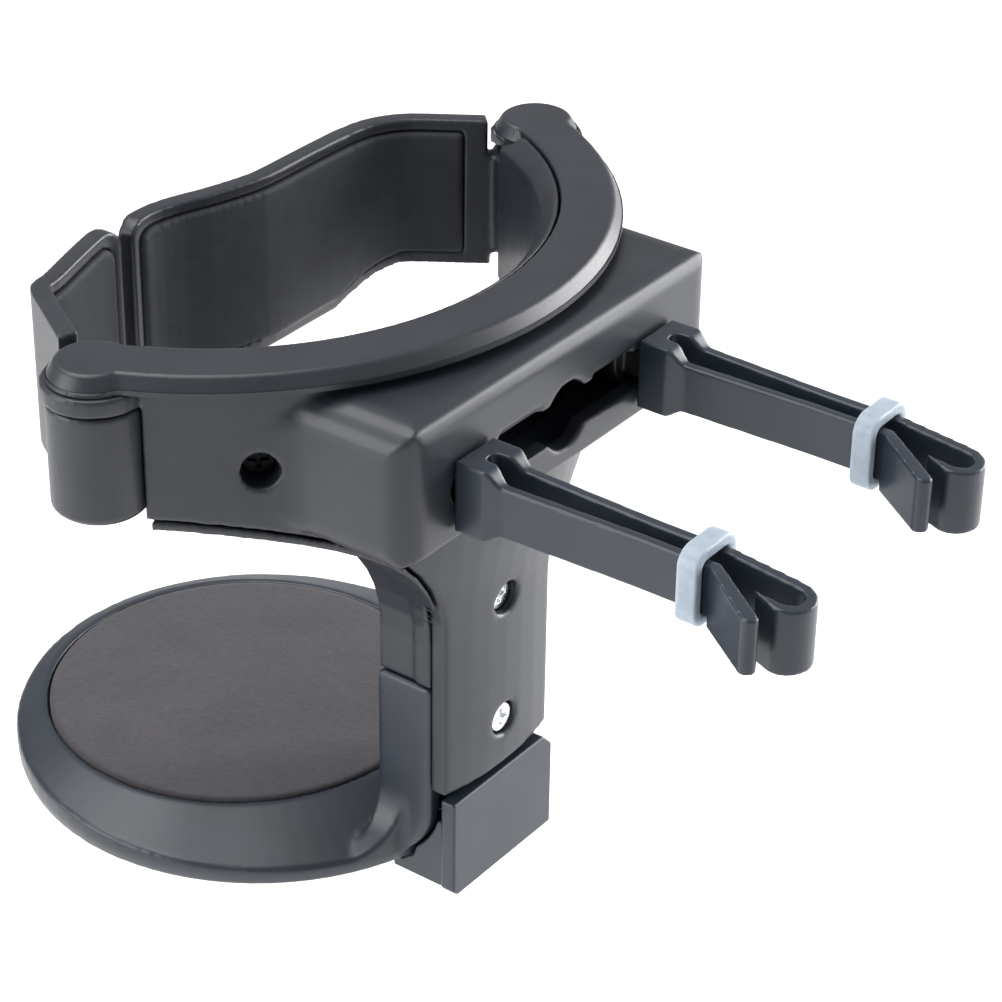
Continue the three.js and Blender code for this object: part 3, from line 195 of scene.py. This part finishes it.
def linear(hex_colour):
    """An sRGB hex colour as the linear numbers that a shader takes."""
    parts = [int(hex_colour[i:i + 2], 16) / 255 for i in (1, 3, 5)]
    return tuple(v / 12.92 if v <= SRGB_KNEE else ((v + 0.055) / 1.055) ** 2.4 for v in parts) + (1.0,)


def add_node(tree, kind, settings=None, values=None, links=None):
    """A node with its settings, its sockets' values, and links {input socket: output socket}."""
    made = tree.nodes.new(kind)
    for key, value in (settings or {}).items():
        setattr(made, key, value)
    for key, value in (values or {}).items():
        made.inputs[key].default_value = value
    for key, source in (links or {}).items():
        tree.links.new(source, made.inputs[key])
    return made


print("mid grey in linear:", round(linear("#808080")[0], 3))

# %% The three parts of a finish
SOFT = 0.55  # how rough an ordinary noise is, from octave to octave
ROUGH = 0.7  # a harsher noise, for flecks and scratches
NOISE_RANGE = (0.3, 0.7)  # nearly all of a noise lies between these
TONE_STOPS = (0.35, 0.65)


def begin_finish(name, plain, *grains):
    """A material with its shader's plain values, and a noise for each grain: (mm, detail, roughness)."""
    material = bpy.data.materials.new(name)
    material.use_nodes = True
    tree = material.node_tree
    for socket, value in plain.items():
        tree.nodes["Principled BSDF"].inputs[socket].default_value = value
    place = add_node(tree, "ShaderNodeTexCoord").outputs["Object"]
    patterns = [
        add_node(
            tree, "ShaderNodeTexNoise",
            values={"Scale": 1 / (size * MM), "Detail": detail, "Roughness": roughness},
            links={"Vector": place},
        ).outputs["Fac"]
        for size, detail, roughness in grains
    ]
    return material, tree, patterns


def lay_finish(tree, tones, clouds, skin=None, gloss=None, relief=None, stops=TONE_STOPS):
    """Two tones in clouds; then the skin's roughness range, and its relief as (depth in mm, strength)."""
    shader = tree.nodes["Principled BSDF"]
    ramp = add_node(tree, "ShaderNodeValToRGB", links={"Fac": clouds})
    for element, tone, stop in zip(ramp.color_ramp.elements, tones, stops):
        element.position = stop
        element.color = linear(tone)
    tree.links.new(ramp.outputs["Color"], shader.inputs["Base Color"])
    if gloss:
        spread = add_node(
            tree, "ShaderNodeMapRange",
            values={
                "From Min": NOISE_RANGE[0], "From Max": NOISE_RANGE[1],
                "To Min": gloss[0], "To Max": gloss[1],
            },
            links={"Value": skin},
        )
        tree.links.new(spread.outputs["Result"], shader.inputs["Roughness"])
    if relief:
        bump = add_node(
            tree, "ShaderNodeBump",
            values={"Strength": relief[1], "Distance": relief[0] * MM},
            links={"Height": skin},
        )
        tree.links.new(bump.outputs["Normal"], shader.inputs["Normal"])


FINISHES = {}

# %% [markdown]
# ### Moulded plastics
#
# The holder is charcoal ABS, injection moulded in a tool with a fine spark-eroded skin. That gives a satin
# surface: soft broad highlights with a very fine sparkle, and faint cloudy flow marks a few millimetres
# across. The tray and the clips come from smoother tools, so they're a little glossier and look bluer. The
# sliders inside the box are black acetal, which slides well against ABS.

# %% ABS and acetal
PLASTIC_IOR = 1.54
FLOW_MARKS = (9.0, 2.0, SOFT)
SPARK_SKIN = (0.25, 3.0, SOFT)  # the real skin is about 0.05 mm; drawn coarser so that it shows
SKIN_STRENGTH = 0.35
PLASTICS = {
    # slot: (material, dark and light tone, roughness from and to, depth of the skin in mm)
    "charcoal_plastic": ("charcoal_abs_spark_eroded", ("#1f222a", "#252830"), (0.34, 0.45), 0.03),
    "tray_plastic": ("charcoal_abs_tray_satin", ("#1c222c", "#222934"), (0.32, 0.42), 0.02),
    "clip_plastic": ("charcoal_abs_clip_satin", ("#1d2530", "#242c37"), (0.30, 0.40), 0.015),
    "slider_plastic": ("black_acetal_moulded", ("#18191b", "#1c1d20"), (0.38, 0.48), 0.02),
}

for slot, (name, tones, gloss, depth) in PLASTICS.items():
    FINISHES[slot], tree, (clouds, skin) = begin_finish(name, {"IOR": PLASTIC_IOR}, FLOW_MARKS, SPARK_SKIN)
    lay_finish(tree, tones, clouds, skin, gloss, (depth, SKIN_STRENGTH))
print(len(FINISHES), "moulded plastics")

# %% [markdown]
# ### Rubber and foam
#
# The arms' pads are thermoplastic rubber, moulded matt and slightly mottled. The tray's pad is die-cut
# closed-cell foam rubber: no gloss, brown-grey flecks about 1 mm across, and a skin of small pores. Its
# tone mixes two noises, because flecks alone look like printed paper and clouds alone like felt. Its relief
# comes from cells, not from noise, because a cut through foam is a sheet of round hollows.

# %% Rubber and foam
PORE = 0.5  # mm; real pores are about 0.2 mm
FLECKS = (1.3, 6.0, ROUGH)
FOAM_CLOUDS = (12.0, 3.0, SOFT)
CLOUD_SHARE = 0.4

FINISHES["soft_rubber"], tree, (clouds, skin) = begin_finish(
    "thermoplastic_rubber_matt", {"IOR": 1.5, "Roughness": 0.7}, (3.5, 4.0, SOFT), (0.4, 4.0, SOFT)
)
lay_finish(tree, ("#1f222a", "#262930"), clouds, skin, relief=(0.05, 0.5))

FINISHES["foam_rubber"], tree, (flecks, clouds) = begin_finish(
    "closed_cell_foam_rubber",
    {"IOR": 1.45, "Roughness": 0.92, "Sheen Weight": 0.15, "Sheen Roughness": 0.6},
    FLECKS, FOAM_CLOUDS,
)
mottle = add_node(
    tree, "ShaderNodeMix", {"data_type": "FLOAT"}, {"Factor": CLOUD_SHARE}, {"A": flecks, "B": clouds}
)
place = add_node(tree, "ShaderNodeTexCoord").outputs["Object"]
pores = add_node(tree, "ShaderNodeTexVoronoi", values={"Scale": 1 / (PORE * MM)}, links={"Vector": place})
lay_finish(
    tree, ("#29272c", "#3b383d"), mottle.outputs["Result"], pores.outputs["Distance"],
    relief=(0.08, 0.4), stops=(0.34, 0.66),
)
print("soft finishes:", FINISHES["soft_rubber"].name, FINISHES["foam_rubber"].name)

# %% [markdown]
# ### Silicone
#
# The bands round the forks are milky silicone: light goes in, scatters about a millimetre deep and comes
# out again, so thin edges look lighter than the middle. Subsurface scattering does that; plain
# transmission would show the fork behind too clearly.

# %% Silicone
SCATTER_DEPTH = 1.6  # mm
SILICONE_HAZE = (1.5, 3.0, SOFT)
milky = {
    "IOR": 1.41,
    "Subsurface Weight": 0.7,
    "Subsurface Scale": SCATTER_DEPTH * MM,
    "Subsurface Radius": (0.9, 1.0, 1.1),
}
FINISHES["silicone"], tree, (haze,) = begin_finish("milky_silicone_moulded", milky, SILICONE_HAZE)
lay_finish(tree, ("#9aa5b1", "#a6b0bb"), haze, haze, gloss=(0.28, 0.40))
print("silicone scatters", SCATTER_DEPTH, "mm deep")

# %% [markdown]
# ### Metal
#
# The screws are zinc plate on steel, tumbled, so they're shiny with fine random scratches. The two in the
# ring's wall are black passivated zinc, so they vanish in their deep recesses. Pins, springs and washers
# are bare drawn steel. Metals keep the default IOR.

# %% Plated and drawn steel
SCRATCHES = (0.3, 5.0, ROUGH)
SCRATCH_RELIEF = (0.02, 0.4)
METALS = {
    # name: (dark and light tone, roughness from and to)
    "bright_zinc_plate": (("#c9ced3", "#f4f6f8"), (0.16, 0.34)),
    "black_zinc_plate": (("#17181a", "#26272a"), (0.35, 0.5)),
    "drawn_spring_steel": (("#8f9398", "#b9bdc2"), (0.25, 0.4)),
}
metals = {}
for name, (tones, gloss) in METALS.items():
    metals[name], tree, (scratches,) = begin_finish(name, {"Metallic": 1.0}, SCRATCHES)
    lay_finish(tree, tones, scratches, scratches, gloss, SCRATCH_RELIEF)
FINISHES["zinc_screw"] = metals["bright_zinc_plate"]
FINISHES["bright_steel"] = metals["drawn_spring_steel"]

backdrop, tree, (fibres,) = begin_finish("pale_backdrop_paper", {"Roughness": 0.9}, (40.0, 3.0, SOFT))
lay_finish(tree, ("#fbfbfb", "#ffffff"), fibres)
floor.data.materials.append(backdrop)
print(len(FINISHES), "slots have a finish")

# %% [markdown]
# ## From CAD solids to mouldings
#
# The CAD solids are exact but their edges are knife sharp, and no moulded edge is. There are two ways to
# round them, and both start from a copy whose loose triangles are welded. The CAD node itself stays as it
# is, for the mechanics.
#
# - A bevel rounds each sharp edge by one radius. It's exact, but where many small curves meet, the bevels
#   run into each other.
# - Casting the solid into a fine grid of voxels and relaxing the grid rounds every edge and inner corner
#   alike, as polishing a mould does. It never fails at a busy corner, and the voxel's size sets the radius.

# %% Where each CAD node belongs
WELD = 0.002 * MM
FLAT_ANGLE = math.radians(0.6)

BODY_OF = {
    node: body for body, nodes in frame["record"]["behaviour"]["bodies"].items() for node in nodes
}
SLOT_OF = {part["node"]: part["material_slot"] for part in frame["record"]["subparts"]}


def nodes_of(slot):
    return [node for node, its_slot in SLOT_OF.items() if its_slot == slot]


print({slot: len(nodes_of(slot)) for slot in FINISHES})

# %% Copy a CAD node, and hand over a finished piece


def welded_copy(name, node):
    """A new object for the piece, and a bmesh of the CAD node with its loose triangles joined."""
    mesh = frame["nodes"][node].data.copy()
    mesh.name = name
    mesh.materials.clear()
    bm = bmesh.new()
    bm.from_mesh(mesh)
    bmesh.ops.remove_doubles(bm, verts=bm.verts, dist=WELD)
    bmesh.ops.dissolve_limit(
        bm, angle_limit=FLAT_ANGLE, use_dissolve_boundaries=False, verts=bm.verts, edges=bm.edges
    )
    piece = bpy.data.objects.new(name, mesh)
    scene.collection.objects.link(piece)
    return piece, bm


def hand_over(piece, node, finish=None):
    """Give the piece its finish and its body, and hide the CAD node that it stands for."""
    slot = SLOT_OF[node]
    piece.data.materials.append(finish or FINISHES[slot])
    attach(piece, BODY_OF[node])
    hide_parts(node)
    print(piece.name, len(piece.data.polygons), "faces on", BODY_OF[node])


# %% Round every edge with voxels


def cast(name, node, voxel, rounds):
    """The CAD node cast in voxels of so many mm and relaxed for so many rounds."""
    piece, bm = welded_copy(name, node)
    bm.to_mesh(piece.data)
    bm.free()
    skin = piece.modifiers.new("skin", "REMESH")
    skin.mode = "VOXEL"
    skin.voxel_size = voxel * MM
    skin.use_smooth_shade = True
    relax = piece.modifiers.new("relax", "SMOOTH")
    relax.factor = 0.5
    relax.iterations = rounds
    graph = bpy.context.evaluated_depsgraph_get()
    piece.data = bpy.data.meshes.new_from_object(piece.evaluated_get(graph))
    piece.data.name = name
    piece.modifiers.clear()
    return piece


# %% Bevel the sharp edges
CREASE = math.radians(38)  # shading stays sharp past this


def bevelled(name, node, radius, sharp, segments):
    """The CAD node with edges sharper than so many degrees bevelled by a radius in mm."""
    piece, bm = welded_copy(name, node)
    edges = [e for e in bm.edges if e.is_manifold and e.calc_face_angle() > math.radians(sharp)]
    bmesh.ops.bevel(
        bm, geom=edges, offset=radius * MM, offset_type="OFFSET", segments=segments, profile=0.5,
        affect="EDGES", material=-1, clamp_overlap=False, loop_slide=True,
    )
    bmesh.ops.remove_doubles(bm, verts=bm.verts, dist=WELD)
    for face in bm.faces:
        face.smooth = True
    bm.to_mesh(piece.data)
    bm.free()
    piece.data.set_sharp_from_angle(angle=CREASE)
    even = piece.modifiers.new("even shading", "WEIGHTED_NORMAL")
    even.keep_sharp = True
    even.weight = 100
    return piece


# %% [markdown]
# ## The mouldings
#
# Shell, liner, arms, tray, clips and sliders have busy corners, so they're cast. The tray's edges are
# softest, so its voxels are largest, and the slim clips get the finest. The cover ring and the foot have
# long plain edges, so they get a bevel of one radius. It is rough where the ring's two lugs meet its inner
# edge, because small curves crowd there: casting would be the cure.

# %% Shell, arms, tray, clips and foot
CAST = {
    # node: (voxel in mm, rounds of relaxing)
    "outer_shell": (0.38, 5),
    "inner_liner": (0.33, 4),
    "left_arm": (0.36, 4),
    "right_arm": (0.36, 4),
    "tray": (0.45, 6),
    "left_vent_clip": (0.2, 10),
    "right_vent_clip": (0.2, 10),
    "left_clip_slider": (0.26, 2),
    "right_clip_slider": (0.26, 2),
}
EDGE_RADIUS = {"cover_ring": 0.5, "support_foot": 0.4}
MOULDING_SHARP = 30  # degrees

for node, (voxel, rounds) in CAST.items():
    hand_over(cast(node + "_moulding", node, voxel, rounds), node)
for node, radius in EDGE_RADIUS.items():
    hand_over(bevelled(node + "_moulding", node, radius, MOULDING_SHARP, segments=3), node)

# %% [markdown]
# ## Rubber pads on the arms
#
# Each arm carries a soft rubber pad that sits nearly flush in a pocket of its inner face. A real pad swells
# a little when it's pressed in, so its seam is a thin line, while the CAD pad leaves a fitting gap all
# round. So the cast pad is pushed out along its own normals by about that gap.

# %% Arm pads
PAD_VOXEL = 0.3
PAD_ROUNDS = 5
PAD_SWELL = 0.3 * MM


def swell(piece, amount):
    """Push every vertex out along its own normal."""
    bm = bmesh.new()
    bm.from_mesh(piece.data)
    bm.normal_update()
    for vert in bm.verts:
        vert.co += vert.normal * amount
    bm.to_mesh(piece.data)
    bm.free()


for node in nodes_of("soft_rubber"):
    pad = cast(node + "_rubber", node, PAD_VOXEL, PAD_ROUNDS)
    swell(pad, PAD_SWELL)
    hand_over(pad, node)

# %% [markdown]
# ## The tray's foam pad
#
# A disc die-cut from foam sheet and glued into the tray's round recess. Its cut edge is soft, and its top is
# crowned by a tenth of a millimetre and slightly uneven. A plain cylinder would look machined. Here one
# spoke of the disc is drawn and spun round, its rim is bevelled, and then the rings of vertices let the top
# rise a little here and there.

# %% Spin the disc
FOAM_RINGS = 28
FOAM_SIDES = 160
FOAM_EDGE = 0.5 * MM
FOAM_EDGE_STEPS = 4
FOAM_CROWN = 0.12 * MM
RIM_SHARP = math.radians(60)

low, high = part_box("tray_pad")
foam_radius = (high.x - low.x) / 2
foam_top = high.z - FOAM_CROWN
ring_step = foam_radius / FOAM_RINGS

foam = bmesh.new()
spoke = [foam.verts.new((i * ring_step, 0, foam_top)) for i in range(FOAM_RINGS + 1)]
spoke += [foam.verts.new((foam_radius, 0, low.z)), foam.verts.new((0, 0, low.z))]
edges = [foam.edges.new(pair) for pair in zip(spoke, spoke[1:])]
bmesh.ops.spin(
    foam, geom=spoke + edges, cent=(0, 0, 0), axis=(0, 0, 1), angle=math.tau, steps=FOAM_SIDES,
    use_merge=True, dvec=(0, 0, 0),
)
bmesh.ops.remove_doubles(foam, verts=foam.verts, dist=WELD)
bmesh.ops.recalc_face_normals(foam, faces=foam.faces)
rim = [
    e for e in foam.edges
    if e.is_manifold and e.calc_face_angle(0) > RIM_SHARP and e.verts[0].co.z > low.z + WELD
]
bmesh.ops.bevel(
    foam, geom=rim, offset=FOAM_EDGE, offset_type="OFFSET", segments=FOAM_EDGE_STEPS, profile=0.5,
    affect="EDGES", material=-1, clamp_overlap=True,
)
print("foam disc:", len(rim), "rim edges, radius", round(foam_radius / MM, 2), "mm")

# %% Let the top rise
CROWN_SHARE = 0.6  # of the room that the crown leaves
UNEVENNESS = 0.05 * MM
WAVE_X = 3.1 * MM
WAVE_Y = 2.7 * MM
FOAM_CREASE = math.radians(50)

for vert in foam.verts:
    if vert.co.z > foam_top - FOAM_EDGE:
        reach = vert.co.xy.length / foam_radius
        waves = math.sin(vert.co.x / WAVE_X) * math.sin(vert.co.y / WAVE_Y)
        vert.co.z += FOAM_CROWN * CROWN_SHARE * (1 - reach ** 4) + UNEVENNESS * waves * (1 - reach ** 8)
foam_middle = (low + high) / 2
bmesh.ops.translate(foam, verts=foam.verts, vec=(foam_middle.x, foam_middle.y, 0))
for face in foam.faces:
    face.smooth = True
foam_mesh = bpy.data.meshes.new("tray_foam")
foam.to_mesh(foam_mesh)
foam.free()
foam_mesh.set_sharp_from_angle(angle=FOAM_CREASE)
foam_pad = bpy.data.objects.new("tray_foam", foam_mesh)
scene.collection.objects.link(foam_pad)
hand_over(foam_pad, "tray_pad")

# %% [markdown]
# ## Silicone bands
#
# A band moulded round each fork squeezes its legs together. It is soft, so every edge is well rounded, and
# casting with more rounds of relaxing gives that.

# %% Clip rings
BAND_VOXEL = 0.22
BAND_ROUNDS = 5

for node in nodes_of("silicone"):
    hand_over(cast(node + "_band", node, BAND_VOXEL, BAND_ROUNDS), node)

# %% [markdown]
# ## Screws, pins and springs
#
# The metal pieces are turned or wound from wire, and their CAD shapes are right. The screws get a bevelled
# copy, so that heads and crosses catch a thin bright line. Pins, springs and washers are nearly hidden, so
# they stay CAD nodes and only take their finish.

# %% Metal pieces
SCREW_EDGE = 0.12
SCREW_SHARP = 35  # degrees

for node in nodes_of("zinc_screw"):
    plate = metals["black_zinc_plate"] if "wall" in node else None
    hand_over(bevelled(node + "_plated", node, SCREW_EDGE, SCREW_SHARP, segments=2), node, plate)
for node in nodes_of("bright_steel"):
    steel = frame["nodes"][node].data.materials
    steel.clear()
    steel.append(FINISHES["bright_steel"])
print(len(nodes_of("bright_steel")), "steel pieces stay CAD nodes")
